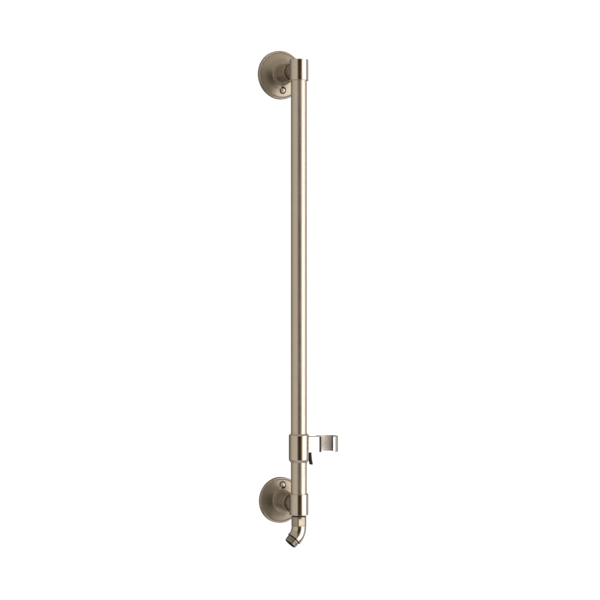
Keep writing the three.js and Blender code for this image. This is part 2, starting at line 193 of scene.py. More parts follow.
def threadWave(pitch, depth, low, high, least, fade=0.8):
    # a V thread that fades in and out at both ends of its run
    def wave(radius, height, angle):
        if radius < least or height < low or height > high:
            return 0
        turn = (height / pitch - angle / math.tau) % 1
        tooth = 1 - abs(2 * turn - 1)
        ends = min(1, (height - low) / fade, (high - height) / fade)
        return -depth * (1 - min(1, 1.25 * tooth)) * max(0, ends)
    return wave


def threadStops(radius, low, high, pitch, perTurn=10):
    count = max(2, round((high - low) / pitch * perTurn))
    return [(radius, low + (high - low) * step / count, 0) for step in range(count + 1)]


def along(direction, at):
    # local Z along a direction, local origin at a point
    turn = Vector(direction).to_track_quat("Z", "Y").to_matrix().to_4x4()
    return Matrix.Translation(at) @ turn


def fromWall(post, x=0, z=0):
    return along((0, -1, 0), post + Vector((x, 0, z)) * mm)


def upright(x, y, z):
    return Matrix.Translation((x, y, z))

# Shader tools: a wire is a socket that takes part in sums

class Wire:
    def __init__(self, board, socket):
        self.board = board
        self.socket = socket

    def sum(self, operation, first, second):
        return self.board.node("ShaderNodeMath", {"operation": operation}, [first, second])

    def __add__(self, other):
        return self.sum("ADD", self, other)

    def __radd__(self, other):
        return self.sum("ADD", other, self)

    def __sub__(self, other):
        return self.sum("SUBTRACT", self, other)

    def __rsub__(self, other):
        return self.sum("SUBTRACT", other, self)

    def __mul__(self, other):
        return self.sum("MULTIPLY", self, other)

    def __rmul__(self, other):
        return self.sum("MULTIPLY", other, self)

    def __truediv__(self, other):
        return self.sum("DIVIDE", self, other)

    def __pow__(self, other):
        return self.sum("POWER", self, other)


class Board:
    def __init__(self, tree):
        self.tree = tree
        tree.nodes.clear()

    def node(self, kind, settings=None, inputs=None, output=0):
        made = self.tree.nodes.new(kind)
        for key, value in (settings or {}).items():
            if key == "stops":
                ramp = made.color_ramp
                while len(ramp.elements) < len(value):
                    ramp.elements.new(0.5)
                for element, (spot, colour) in zip(ramp.elements, value):
                    element.position = spot
                    element.color = (*colour, 1)
            else:
                setattr(made, key, value)
        pairs = (inputs or {}).items() if isinstance(inputs, dict) else enumerate(inputs or [])
        for key, value in pairs:
            if isinstance(value, Wire):
                self.tree.links.new(value.socket, made.inputs[key])
            else:
                made.inputs[key].default_value = value
        return Wire(self, made.outputs[output]) if made.outputs else made


def newMaterial(name):
    material = bpy.data.materials.new(name)
    material.use_nodes = True
    return material, Board(material.node_tree)


def finishMaterial(board, shaderInputs):
    shader = board.node("ShaderNodeBsdfPrincipled", {}, shaderInputs)
    board.node("ShaderNodeOutputMaterial", {}, {"Surface": shader})


def speckle(board, place, scale, detail=3, stretch=(1, 1, 1)):
    spread = board.node("ShaderNodeVectorMath", {"operation": "MULTIPLY"}, [place, stretch])
    return board.node("ShaderNodeTexNoise", {}, {"Vector": spread, "Scale": scale, "Detail": detail})


def blendColour(board, factor, first, second):
    settings = {"data_type": "RGBA"}
    return board.node("ShaderNodeMix", settings, {0: factor, 6: first, 7: second}, output=2)


def ease(board, value, start, end):
    # 0 at start, 1 at end, smooth between
    settings = {"interpolation_type": "SMOOTHSTEP"}
    return board.node("ShaderNodeMapRange", settings, {"Value": value, 1: start, 2: end})


def shade(colour, amount):
    return (*(channel * amount for channel in colour), 1)


def nearTo(board, x, y, row):
    # 1 on a spot or ring about the local Z axis, fading to 0 beside it
    aim, across, ring, start, end, amount = row
    aside = ((x - aim * mm) ** 2 + (y - across * mm) ** 2) ** 0.5
    if ring:
        aside = board.node("ShaderNodeMath", {"operation": "ABSOLUTE"}, [aside - ring * mm])
    fade = {"Value": aside, 1: start * mm, 2: end * mm, 3: amount, 4: 0.0}
    return board.node("ShaderNodeMapRange", {}, fade)

# Brushed nickel. The grain runs round a turned piece, or along a drawn or flat one.

nickelLooks = {
    "matt": {"colour": (0.43, 0.362, 0.28), "roughness": 0.34, "grain": 0.06, "lift": 0.5},
    "satin": {"colour": (0.62, 0.545, 0.46), "roughness": 0.31, "grain": 0.05, "lift": 0.35},
    "dome": {"colour": (0.8, 0.72, 0.63), "roughness": 0.5, "grain": 0.04, "lift": 0.25},
    "bright": {"colour": (0.66, 0.6, 0.53), "roughness": 0.2, "grain": 0.03, "lift": 0.25},
    "polished": {"colour": (0.64, 0.565, 0.48), "roughness": 0.09, "grain": 0.03, "lift": 0.25},
}


def nickel(name, look, grainAlong="round", paintedShade=(), rubbedBoreAndShade=None):
    # a painted shade row: centre x and y, ring radius or 0 for a spot, where the fade starts and ends, how
    # much; each row darkens the colour towards near black as painted shade
    # the bore rows mark a face left rough by a handset's cone, and paint shade that darkens that face towards
    # one side of the bore
    material, board = newMaterial(name)
    place = board.node("ShaderNodeTexCoord", {}, {}, output="Object")
    split = {"x": "X", "y": "Y", "z": "Z"}
    x, y, z = (board.node("ShaderNodeSeparateXYZ", {}, [place], output=split[axis]) for axis in "xyz")
    if grainAlong == "round":
        radius = (x * x + y * y) ** 0.5
        lines = board.node("ShaderNodeCombineXYZ", {}, [radius * 4200, z * 4200, 0.0])
    elif grainAlong == "up":
        lines = board.node("ShaderNodeCombineXYZ", {}, [x * 4200, y * 4200, z * 60])
    else:
        lines = board.node("ShaderNodeCombineXYZ", {}, [x * 60, y * 4200, z * 4200])
    brushed = {"Vector": lines, "Scale": 1.0, "Detail": 4, "Roughness": 0.65}
    grain = board.node("ShaderNodeTexNoise", {}, brushed)
    cloud = speckle(board, place, 38)
    haze = speckle(board, place, 9, 2)
    smudge = board.node("ShaderNodeMapRange", {}, {"Value": haze, 1: 0.45, 2: 0.7, 3: 0.0, 4: 1.0})
    edge = board.node("ShaderNodeNewGeometry", {}, {}, output="Pointiness")
    worn = board.node("ShaderNodeMapRange", {}, {"Value": edge, 1: 0.52, 2: 0.6, 3: 0.0, 4: 1.0})
    colour = look["colour"]
    tone = blendColour(board, grain * 0.55 + cloud * 0.45, shade(colour, 0.9), shade(colour, 1.08))
    tone = blendColour(board, worn * look["lift"], tone, shade(colour, 1.28))
    roughness = look["roughness"] + (grain - 0.5) * 0.1 + (cloud - 0.5) * 0.06 + smudge * 0.035 - worn * 0.04
    metallic = 1.0
    # painted shade: each row darkens the colour towards near black, and makes it rougher and less metallic
    for row in paintedShade:
        shadeAmount = nearTo(board, x, y, row)
        tone = blendColour(board, shadeAmount, tone, (0.012, 0.009, 0.006, 1))
        roughness = roughness + shadeAmount * 0.4
        metallic = metallic - shadeAmount
    if rubbedBoreAndShade:
        soft = nearTo(board, x, y, rubbedBoreAndShade["bore"])
        tone = blendColour(board, soft, tone, shade(colour, 1.45))
        # painted shade: darkens the bore face towards its far wall
        paintedBoreShade = nearTo(board, x, y, rubbedBoreAndShade["paintedBoreShade"]) * soft
        tone = blendColour(board, paintedBoreShade, tone, shade(colour, 0.12))
        roughness = roughness + soft * 0.3
        metallic = metallic - soft * 0.7
    bump = board.node("ShaderNodeBump", {}, {"Strength": look["grain"], "Distance": 0.0001, "Height": grain})
    values = {"Base Color": tone, "Metallic": metallic, "Roughness": roughness, "Normal": bump}
    values["Specular IOR Level"] = 0.1
    finishMaterial(board, values)
    return material


def plainMetal(name, colour, roughness):
    material, board = newMaterial(name)
    place = board.node("ShaderNodeTexCoord", {}, {}, output="Object")
    marks = speckle(board, place, 900, 4, (1, 1, 0.15))
    cloud = speckle(board, place, 60)
    tone = blendColour(board, marks * 0.6 + cloud * 0.4, shade(colour, 0.8), shade(colour, 1.15))
    bump = board.node("ShaderNodeBump", {}, {"Strength": 0.1, "Distance": 0.0001, "Height": marks})
    finish = roughness + (marks - 0.5) * 0.2
    finishMaterial(board, {"Base Color": tone, "Metallic": 1.0, "Roughness": finish, "Normal": bump})
    return material


def moulded(name, colour, roughness, grainScale, strength, gloss=0.5):
    # rubber, foam and plastic
    material, board = newMaterial(name)
    place = board.node("ShaderNodeTexCoord", {}, {}, output="Object")
    pores = speckle(board, place, grainScale, 5)
    cloud = speckle(board, place, 120)
    tone = blendColour(board, pores * 0.5 + cloud * 0.5, shade(colour, 0.75), shade(colour, 1.3))
    bump = board.node("ShaderNodeBump", {}, {"Strength": strength, "Distance": 0.0001, "Height": pores})
    values = {"Base Color": tone, "Roughness": roughness + (cloud - 0.5) * 0.2, "Normal": bump}
    values["Specular IOR Level"] = gloss
    finishMaterial(board, values)
    return material


mattTurned = nickel("matt_turned", nickelLooks["matt"])
# the rows here are painted shade: the collar's gap round the neck, the post's groove, the nipple's thread
# roots and opening, and the sleeve's bore and end chamfers
collarNickel = nickel("collar_nickel", nickelLooks["matt"], paintedShade=[(0, 0, 0, 13.3, 14, 0.55)])
postNickel = nickel("post_nickel", nickelLooks["matt"], paintedShade=[(0, 0, 0, 14, 15, 0.9)])
domeNickel = nickel("dome_nickel", nickelLooks["dome"])
threadNickel = nickel("thread_nickel", nickelLooks["polished"], paintedShade=[(0, 0, 0, 9.5, 10.1, 1.0)])
sleeveNickel = nickel("sleeve_nickel", nickelLooks["polished"], paintedShade=[(0, 0, 14, 1.2, 1.7, 0.4)])
satinTurned = nickel("satin_turned", nickelLooks["satin"])
satinDrawn = nickel("satin_drawn", nickelLooks["satin"], "up")
polishedTurned = nickel("polished_turned", nickelLooks["polished"])
polishedDrawn = nickel("polished_drawn", nickelLooks["polished"], "up")
# painted shade: a dark line down the corner where the arm meets the ring, and darkening across the ring's bore
# towards its far wall; the bore row also makes that face rougher
armPaintedShade = (34.7, -8.0, 0, 2.1, 2.6, 0.92)
armRubbedBoreAndShade = {"bore": (50, 0, 0, 13.1, 13.4, 1.0), "paintedBoreShade": (62, 3, 0, 1, 16, 0.95)}
armNickel = nickel("arm_nickel", nickelLooks["bright"], "across", [armPaintedShade], armRubbedBoreAndShade)
steel = plainMetal("steel", (0.56, 0.57, 0.58), 0.32)
blackRubber = moulded("black_rubber", (0.006, 0.006, 0.006), 0.75, 1500, 0.2, 0.15)
greyFoam = moulded("grey_foam", (0.06, 0.06, 0.06), 0.95, 1800, 0.8)
whiteNylon = moulded("white_nylon", (0.78, 0.76, 0.7), 0.42, 900, 0.08)
leverPlastic = moulded("lever_plastic", (0.012, 0.009, 0.006), 0.35, 1100, 0.06, 0.2)
print("materials made")

slotOf = {row["node"]: row["material_slot"] for row in frame["record"]["subparts"]}


def fit(piece, material, body, *nodes):
    # wide faces keep their own direction beside narrow fillets
    step = piece.modifiers.new("normals", "WEIGHTED_NORMAL")
    step.keep_sharp = True
    settle(piece)
    piece.data.materials.clear()
    piece.data.materials.append(material)
    for face in piece.data.polygons:
        face.material_index = 0
    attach(piece, body)
    if nodes:
        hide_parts(*nodes)
    return piece

# Flanges, with their screws, gaskets and wall plates

flangeShape = {
    "rimSection": [(0, 0, 0.2), (0, 4.7, 0.7), (-0.9, 5.9, 0.5), (-2.2, 6.0, 0.3), (-2.75, 5.35, 0.25)],
    "dish": [
        (25, 7.6, 3), (17.5, 10.1, 1.4), (15.5, 11.8, 0.5), (15.5, 19.8, 0.9), (13.7, 19.8, 0.2),
        (13.7, 8.4, 0), (25, 4.4, 1),
    ],
    "back": [(-3.6, 2.6, 0.3), (-3.6, 0, 0.1)],
    "seatRadius": 5.75, "seatFloor": 5.4, "rim": 0.35, "look": "matt",
}


def makeFlange(name, post):
    shape = flangeShape
    seatAt = (middle(name + "_screw") - post) / mm
    low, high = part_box(name)
    edge = (high.x - low.x) / 2 / mm
    # painted shade: a dark ring round the screw's seat, a dark line just inside the rim, and a dark ring at
    # the foot of the hub
    paintedShade = [
        (seatAt.x, seatAt.z, 0, 5.5, 6.1, 0.95),
        (0, 0, edge - 3.5, 0.3, 0.9, 0.5),
        (0, 0, 16.3, 0.3, 1.1, 0.4),
    ]
    finish = nickel(name + "_nickel", nickelLooks[shape["look"]], paintedShade=paintedShade)
    section = [(edge + r, h, f) for r, h, f in shape["rimSection"]] + shape["dish"]
    section += [(edge + r, h, f) for r, h, f in shape["back"]]
    cover = turned(name + "_cover", section, fromWall(post), 192)
    radius, floor = shape["seatRadius"], shape["seatFloor"]
    seat = [(0, floor, 0), (radius - 0.3, floor, 0.5), (radius, 7.4, 0), (radius + shape["rim"], 8.6, 0.3),
            (radius + 1.4, 12, 0), (0, 12, 0)]
    drill = [(0, -1, 0), (2.5, -1, 0), (2.5, 9, 0), (0, 9, 0)]
    where = fromWall(post, seatAt.x, seatAt.z)
    carve(cover, turned("seat", seat, where, 64), turned("drill", drill, where, 32))
    return fit(smooth(cover), finish, "rail", name)


screwShape = {
    "head": [(0, 11, 0), (1.5, 10.8, 0.8), (2.9, 10.1, 1), (3.8, 9, 0.8), (4.2, 7.8, 0.5), (4.2, 5.5, 0.1)],
    "shank": 2.2,
}


def makeFlangeScrew(name, post):
    place = (middle(name) - post) / mm
    where = fromWall(post, place.x, place.z)
    shank = screwShape["shank"]
    stops = threadStops(shank, 2.6, 5.2, 0.8)
    section = screwShape["head"] + [(shank, 5.5, 0.1)] + stops[::-1] + [(0, 2.6, 0)]
    wave = threadWave(0.8, 0.35, 2.6, 5.2, 2, 0.4)
    return fit(turned(name + "_domed", section, where, 64, wave), domeNickel, "rail", name)


def makeGasket(name, post):
    low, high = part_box(name)
    edge = (high.x - low.x) / 2 / mm
    section = [(edge - 4.2, 0, 0.4), (edge, 0, 0.4), (edge, 2.3, 0.6), (edge - 4.2, 2.3, 0.6)]
    return fit(turned(name + "_foam", section, fromWall(post), 128), greyFoam, "rail", name)


plateShape = {"radius": 27, "thick": 2, "screwOut": 20, "middle": 13.8}


def makePlate(name, post, hollow):
    shape = plateShape
    radius, thick = shape["radius"], shape["thick"]
    if hollow:
        inner = shape["middle"]
        section = [(inner, 0, 0.15), (radius, 0, 0.3), (radius, thick, 0.3), (inner, thick, 0.15)]
        plate = turned(name + "_disc", section, fromWall(post), 128)
    else:
        stud = threadStops(5, 2.6, 13.4, 1.25)
        section = [(0, 0, 0), (radius, 0, 0.3), (radius, thick, 0.3), (5, thick, 0.2)] + stud
        section += [(4.4, 14, 0.2), (0, 14, 0)]
        plate = turned(name + "_disc", section, fromWall(post), 128, threadWave(1.25, 0.6, 2.6, 13.4, 4.9))
    hole = [(0, -1, 0), (2.2, -1, 0), (2.2, 0.2, 0), (4.1, 2.05, 0), (4.1, 3, 0), (0, 3, 0)]
    for side in (-1, 1):
        carve(plate, turned("hole", hole, fromWall(post, x=side * shape["screwOut"]), 48))
    return fit(smooth(plate), steel, "rail", name)


def makePlateScrew(name, post, side):
    where = fromWall(post, x=side * plateShape["screwOut"])
    thread = threadStops(1.9, -24, -2, 1.6, 12)
    head = [(1.9, 0.3, 0.2), (3.4, 1.8, 0.15), (3.4, 1.95, 0), (0, 1.95, 0)]
    section = [(0, -28, 0), (0.5, -27.2, 0)] + thread + head
    screw = turned(name + "_wood", section, where, 40, threadWave(1.6, 0.65, -24.5, -2, 1.8, 2.5))
    return fit(screw, steel, "rail", name)


for name, post in (("top", topPost), ("bottom", bottomPost)):
    makeFlange(name + "_flange", post)
    makeFlangeScrew(name + "_flange_screw", post)
    makeGasket(name + "_flange_gasket", post)
    makePlate(name + "_wall_plate", post, name == "bottom")
    makePlateScrew(name + "_plate_screw_left", post, -1)
    makePlateScrew(name + "_plate_screw_right", post, 1)
print("flanges made")

# Posts, collars and bands

postShape = {
    "front": [(13.4, 26.7, 0.3), (9.5, 27.4, 0.1), (9.5, 32.5, 0.1), (7.8, 32.5, 0.1), (7.8, 34.5, 0.1),
              (9.5, 34.5, 0.1), (9.5, 39.6, 0.2), (8.6, 40.5, 0.2)],
    "pitch": 1.81,
}


def makePosts():
    back = [(0, 15, 0), (5.3, 15, 0), (5.3, 2.3, 0.2), (13.4, 2.3, 0.3)]
    top = turned("top_post_body", back + postShape["front"] + [(0, 40.5, 0)], fromWall(topPost))
    fit(top, postNickel, "rail", "top_post")
    pitch = postShape["pitch"]
    socket = threadStops(10.35, 1, 13.2, pitch)[::-1]
    inlet = [(10.9, 0, 0.2), (13.4, 0, 0.3)] + postShape["front"]
    inlet += [(5.5, 40.5, 0.2), (5.5, 16, 0.3), (9.6, 14.2, 0.3)] + socket
    wave = threadWave(pitch, -0.6, 1, 13.2, 10.2)

    def inner(radius, height, angle):
        return wave(radius, height, angle) - 0.3 if 10.2 < radius < 10.5 and height < 13.3 else 0

    fit(turned("inlet_post_body", inlet, fromWall(bottomPost), 128, inner), postNickel, "rail", "inlet_post")


collarShape = {
    "section": [(14.4, 22.3, 0), (15.5, 22.3, 0.9), (15.5, 45.3, 1.0), (12.8, 45.3, 0.3), (12.8, 27.3, 0.2),
                (13.7, 27.3, 0.1), (13.7, 22.3, 0.3)],
    "screwAt": 36, "turn": math.radians(-45),
}


def makeCollar(name, screwName, post):
    collar = turned(name + "_sleeve", collarShape["section"], fromWall(post), 160)
    turn = collarShape["turn"]
    aim = (math.cos(turn), 0, math.sin(turn))
    start = post + Vector((0, -collarShape["screwAt"] * mm, 0))
    hole = [(0, 12, 0), (2.2, 12, 0), (2.2, 15.1, 0), (2.6, 15.7, 0), (2.6, 17, 0), (0, 17, 0)]
    carve(collar, turned("hole", hole, along(aim, start), 48))
    fit(smooth(collar), collarNickel, "rail", name)
    screw = [(0, 12.8, 0), (1.4, 12.8, 0.1), (1.9, 13.3, 0.1), (1.9, 15.2, 0.2), (1.05, 15.2, 0.1),
             (1.0, 13.9, 0), (0, 13.9, 0)]
    fit(turned(screwName + "_grub", screw, along(aim, start), 48), steel, "rail", screwName)


bandShape = {"radius": 15, "half": 16.5, "neck": 12.5, "neckBack": 27.6, "rim": 0.7}


def makeBand(name, post, bores):
    shape = bandShape
    radius, half = shape["radius"], shape["half"]
    centre = (barX, barY, post.z)
    ring = [(0, -half, 0), (radius, -half, shape["rim"]), (radius, half, shape["rim"]), (0, half, 0)]
    band = turned(name + "_socket", ring, upright(*centre), 192)
    back, neck = shape["neckBack"], shape["neck"]
    tube = [(0, back, 0), (neck, back, 0.4), (neck, 62, 0), (0, 62, 0)]
    carve(band, turned("neck", tube, fromWall(post), 128), how="UNION")
    for section, where, sides in bores:
        carve(band, turned("bore", section, where, sides))
    return fit(smooth(band, 28), polishedTurned, "rail", name)


def rodSection(radius, low, high):
    return [(0, low, 0), (radius, low, 0), (radius, high, 0), (0, high, 0)]


def makeBands():
    up = upright(barX, barY, topPost.z)
    top = [
        (rodSection(13, -18, 18), up, 128),
        (rodSection(9.8, 26, 41.5), fromWall(topPost), 96),
        (rodSection(2.6, 40, 62), fromWall(topPost), 48),
    ]
    makeBand("top_band", topPost, top)
    down = upright(barX, barY, bottomPost.z)
    outletSocket = [(0, -18, 0), (10, -18, 0), (10, -16.2, 0), (9.7, -15.8, 0), (9.7, -6.5, 0), (5.5, -6.5, 0),
                    (5.5, 0, 0), (0, 0, 0)]
    bottom = [
        (rodSection(13, 7.3, 18), down, 128),
        (rodSection(9.8, 26, 41.5), fromWall(bottomPost), 96),
        (rodSection(5.5, 40, 70), fromWall(bottomPost), 64),
        (outletSocket, down, 96),
    ]
    makeBand("bottom_band", bottomPost, bottom)


makePosts()
makeCollar("top_collar", "top_set_screw", topPost)
makeCollar("bottom_collar", "bottom_set_screw", bottomPost)
makeBands()
print("posts, collars and bands made")

# The bar and its ends

def makeBar():
    low, high = barLow.z / mm, barHigh.z / mm
    outer, inner = barRadius / mm, barRadius / mm - 1.5
    section = [(inner, low, 0.2), (outer, low, 0.3)]
    section += [(outer, low + (high - low) * step / 24, 0) for step in range(1, 24)]
    section += [(outer, high, 0.3), (inner, high, 0.2)]
    bar = turned("bar_drawn_tube", section, upright(barX, barY, 0), 160)
    fit(bar, satinDrawn, "rail", "bar_tube")
    cap = [(0, 2, 0), (10.9, 2, 0.5), (10.9, 12.7, 0.1), (12.7, 12.7, 0.2), (12.7, 16.4, 0.6), (8, 17.2, 3),
           (0, 17.4, 0)]
    dome = turned("bar_cap_dome", cap, upright(barX, barY, topPost.z), 128)
    fit(dome, satinTurned, "rail", "bar_top_cap")


makeBar()
print("bar made")

# The outlet: washer, adapter, elbow, hose nipple and check valve

outletShape = {
    "top": -19.2, "foot": -33, "radius": 11.85, "flat": 10.65, "flatTop": -22.2,
    "elbowRadius": 11.65, "elbowBore": 6.5, "bend": 24, "straight": 2.4, "angle": math.radians(45),
    "gap": 0.3, "nipple": 10.45, "nippleBore": 7.2, "nippleLength": 9.5, "pitch": 1.81,
}


def makeWasher():
    section = [(9.9, -18.75, 0.3), (10.7, -18.75, 0.5), (10.7, -16.75, 0.5), (9.9, -16.75, 0.3)]
    ring = turned("outlet_washer_ring", section, upright(barX, barY, bottomPost.z))
    fit(ring, blackRubber, "rail", "outlet_washer")


def makeAdapter():
    shape = outletShape
    radius, top, foot, flatTop = shape["radius"], shape["top"], shape["foot"], shape["flatTop"]
    section = [
        (5.5, -8, 0.2), (8.8, -8, 0.2), (9.4, -8.7, 0.1), (9.4, top, 0.1), (radius, top, 0.5),
        (radius, flatTop, 0), (radius, flatTop - 0.01, 0), (radius, foot, 0.35), (8, foot, 0.1),
        (8, -35.2, 0.1), (6.6, -35.2, 0.1), (6.6, -37.2, 0.1), (8, -37.2, 0.1), (8, -38.4, 0.1),
        (6.9, -38.4, 0.1), (6.9, -40, 0.1), (8, -40, 0.1), (8, -41.5, 0.4), (5.5, -41.5, 0.3),
    ]
    adapter = turned("outlet_adapter_body", section, upright(barX, barY, bottomPost.z), 192)
    for side in (-1, 1):
        near = side * shape["flat"]
        far = side * (radius + 2)
        outline = [(-14, near), (14, near), (14, far), (-14, far)][::side]
        tool = prism("flat", outline, foot - 0.2, flatTop, adapter.matrix_world)
        carve(adapter, smooth(tool))
    fit(smooth(adapter, 25), mattTurned, "rail", "outlet_adapter")


def elbowPoint(length):
    # centre and direction of the elbow's line, at a distance along it
    shape = outletShape
    bend, straight, angle = shape["bend"], shape["straight"], shape["angle"]
    top = shape["foot"] - shape["gap"]
    arcLength = bend * angle
    turn = min(max((length - straight) / bend, 0), angle)
    centre = Vector((-bend * (1 - math.cos(turn)), 0, top - min(length, straight) - bend * math.sin(turn)))
    way = Vector((-math.sin(turn), 0, -math.cos(turn)))
    if length > straight + arcLength:
        centre += way * (length - straight - arcLength)
    return centre, way


def swept(name, corners, where, sides=128):
    # like turned, but the heights run along the elbow's line
    points, faces, rings = [], [], []
    for radius, length in (tuple(p) for p in rounded(corners)):
        centre, way = elbowPoint(length)
        across = Vector((-way.z, 0, way.x))
        rings.append(list(range(len(points), len(points) + sides)))
        for side in range(sides):
            angle = side / sides * math.tau
            point = centre + across * radius * math.cos(angle) + Vector((0, radius * math.sin(angle), 0))
            points.append(tuple(point * mm))
    for lower, upper in zip(rings, rings[1:] + rings[:1]):
        for side in range(sides):
            after = (side + 1) % sides
            faces.append([lower[side], lower[after], upper[after], upper[side]])
    return smooth(newPiece(name, points, faces, where))


def makeElbow():
    shape = outletShape
    end = 2 * shape["straight"] + shape["bend"] * shape["angle"]
    outer, inner = shape["elbowRadius"], shape["elbowBore"]
    steps = 28
    section = [(outer - 0.5, 0, 0.0), (outer, 0.5, 0.4)]
    section += [(outer, 1 + (end - 3.2) * step / steps, 0) for step in range(steps + 1)]
    section += [(12.1, end - 1.6, 0.3), (12.1, end - 0.2, 0.3), (11.6, end, 0.2), (8.9, end, 0.2)]
    section += [(8.9, end - 7, 0.1), (inner, end - 7, 0.1)]
    section += [(inner, end - 8 - (end - 18) * step / steps, 0) for step in range(steps + 1)]
    section += [(8.3, 8.6, 0.1), (8.3, 0.4, 0.2)]
    elbow = swept("outlet_elbow_body", section, upright(barX, barY, bottomPost.z))
    fit(smooth(elbow), polishedDrawn, "elbow", "outlet_elbow")
    tip, way = elbowPoint(end)
    where = along(way, Vector((barX, barY, bottomPost.z)) + tip * mm)
    pitch, radius, bore, length = (shape[key] for key in ("pitch", "nipple", "nippleBore", "nippleLength"))
    section = [(bore, -6.6, 0.2), (8.6, -6.6, 0.2), (8.6, 0.3, 0.1), (9.5, 0.3, 0.2), (9.5, 1.5, 0.2)]
    section += threadStops(radius, 1.9, length - 1.1, pitch, 14)
    section += [(radius - 0.9, length, 0.2), (bore + 1.5, length, 0.2), (bore, length - 1.8, 0.3)]
    wave = threadWave(pitch, 1.15, 1.9, length - 0.4, 10, 0.5)
    fit(turned("outlet_nipple_body", section, where, 160, wave), threadNickel, "elbow", "outlet_nipple")
    valve = [(0, -4, 0), (2.5, -4, 0.4), (2.5, -1.5, 0.5), (4.6, -0.5, 0.3), (4.6, -5.6, 0.4),
             (6.9, -5.6, 0.3), (6.9, 4, 0.4), (5.6, 4, 0.3), (5.6, 0.8, 0.3), (1.2, 0.8, 0.3), (1.2, 3, 0.5),
             (0, 3, 0)]
    fit(turned("check_valve_body", valve, where, 96), leverPlastic, "elbow", "check_valve")


makeWasher()
makeAdapter()
makeElbow()
print("outlet made")

# The holder: sleeve, arm with cradle, lever

holderShape = {
    "sleeve": [(13, -22.5, 0.15), (13.65, -22.5, 0.25), (16, -18.3, 0.5), (16, 20.1, 0.7),
               (13.65, 22.5, 0.25), (13, 22.5, 0.15), (13, 20.9, 0), (14.6, 20.9, 0), (14.6, -20.9, 0),
               (13, -20.9, 0)],
    "armHalf": 6, "armTop": 17.4, "armFoot": -7.3, "seat": 16.3,
    "reach": 50, "ring": 17.65, "boreTop": 12.9, "boreFoot": 12.1, "slot": 19, "slotTurn": -115, "edge": 0.4,
    "pivot": (19.6, -4),
}


def makeSleeve():
    where = upright(*sleeveMiddle)
    sleeve = turned("holder_sleeve_body", holderShape["sleeve"], where, 192)
    window = prism("window", [(12, -4.3), (18, -4.3), (18, 4.3), (12, 4.3)], 0.2, 6.6, where)
    carve(sleeve, smooth(window))
    fit(smooth(sleeve), sleeveNickel, "holder", "holder_sleeve")


def armOutline():
    # plan of the arm and its C ring, anticlockwise from the arm's rear corner on the wall side
    shape = holderShape
    half, seat, reach, ring, bore = (shape[key] for key in ("armHalf", "seat", "reach", "ring", "boreFoot"))
    rearAngle = math.degrees(math.asin(half / seat))
    joinAngle = math.degrees(math.asin(half / ring))
    slotHalf = shape["slot"] / 2
    outerSlot = math.degrees(math.asin(slotHalf / ring))
    innerSlot = math.degrees(math.asin(slotHalf / bore))
    turn = shape["slotTurn"]
    centre = (reach, 0)
    outline = arc((0, 0), seat, rearAngle, -rearAngle, 16)
    outline += arc(centre, ring, 180 + joinAngle - 360, turn - outerSlot, 6)
    outline += arc(centre, bore, turn - innerSlot, turn + innerSlot - 360, 72)
    outline += arc(centre, ring, turn + outerSlot, 180 - joinAngle, 72)
    return outline


def makeArm():
    shape = holderShape
    where = upright(*sleeveMiddle)
    arm = prism("holder_arm_body", armOutline(), shape["armFoot"], shape["armTop"], where)
    grow = shape["boreTop"] / shape["boreFoot"] - 1
    for vertex in arm.data.vertices:
        offset = Vector((vertex.co.x - shape["reach"] * mm, vertex.co.y))
        if offset.length < (shape["boreFoot"] + 0.3) * mm and vertex.co.z > 0:
            vertex.co.x += offset.x * grow
            vertex.co.y += offset.y * grow
    smooth(arm)
    softenEdges(arm, shape["edge"])
    pocket = prism("pocket", [(10, -4.3), (23.2, -4.3), (23.2, 4.3), (10, 4.3)], -9, 7.2, where)
    carve(arm, smooth(pocket))
    fit(smooth(arm, 28), armNickel, "holder", "holder_arm")


leverShape = {
    "outline": [(20.5, -27.1), (23.3, -26.5), (22.4, -23), (21.4, -18), (20.6, -9.5), (20.9, -7.6), (22, -6),
                (22.3, -4), (22, -2.4), (20.5, 4.2), (19.6, 4.8), (18.2, 4.6), (17.6, 3.4), (16.95, -3.5),
                (16.95, -7.6), (18.2, -16)],
    "half": 4, "edge": 0.3,
}


def makeLever():
    outline = leverShape["outline"]
    half = leverShape["half"]
    # drawn in the plane of the arm and stood up, so local Z runs across the lever
    stand = Matrix(((1, 0, 0, 0), (0, 0, 1, 0), (0, 1, 0, 0), (0, 0, 0, 1)))
    lever = prism("trigger_lever_body", outline[::-1], -half, half, Matrix.Translation(sleeveMiddle) @ stand)
    lever.data.transform(stand)
    lever.matrix_world = Matrix.Translation(sleeveMiddle)
    softenEdges(smooth(lever), leverShape["edge"], 5)
    pivotX, pivotZ = holderShape["pivot"]
    across = along((0, 1, 0), sleeveMiddle + Vector((pivotX, 0, pivotZ)) * mm)
    room = prism("room", [(10, 0), (30, 0), (30, 6), (10, 6)], pivotZ - 3.2, 10, lever.matrix_world)
    carve(lever, turned("pin", rodSection(1.65, -9, 9), across, 48), smooth(room))
    fit(smooth(lever), leverPlastic, "trigger", "trigger_lever")


makeSleeve()
makeArm()
makeLever()
print("holder made")

# Nodes that keep their own shape take a finish here

finishOf = {"steel": steel, "black_rubber": blackRubber, "grey_foam": greyFoam, "white_nylon": whiteNylon,
            "dark_plastic": leverPlastic}
for name, node in frame["nodes"].items():
    if node.hide_render:
        continue
    node.data.materials.clear()
    node.data.materials.append(finishOf.get(slotOf[name], satinTurned))
    print("kept", name)

# Floor, light and camera

floorShape = {"radius": 1000, "thick": 5, "drop": 0.9, "fade": (0.4, 0.98), "tones": (0.82, 0.86)}


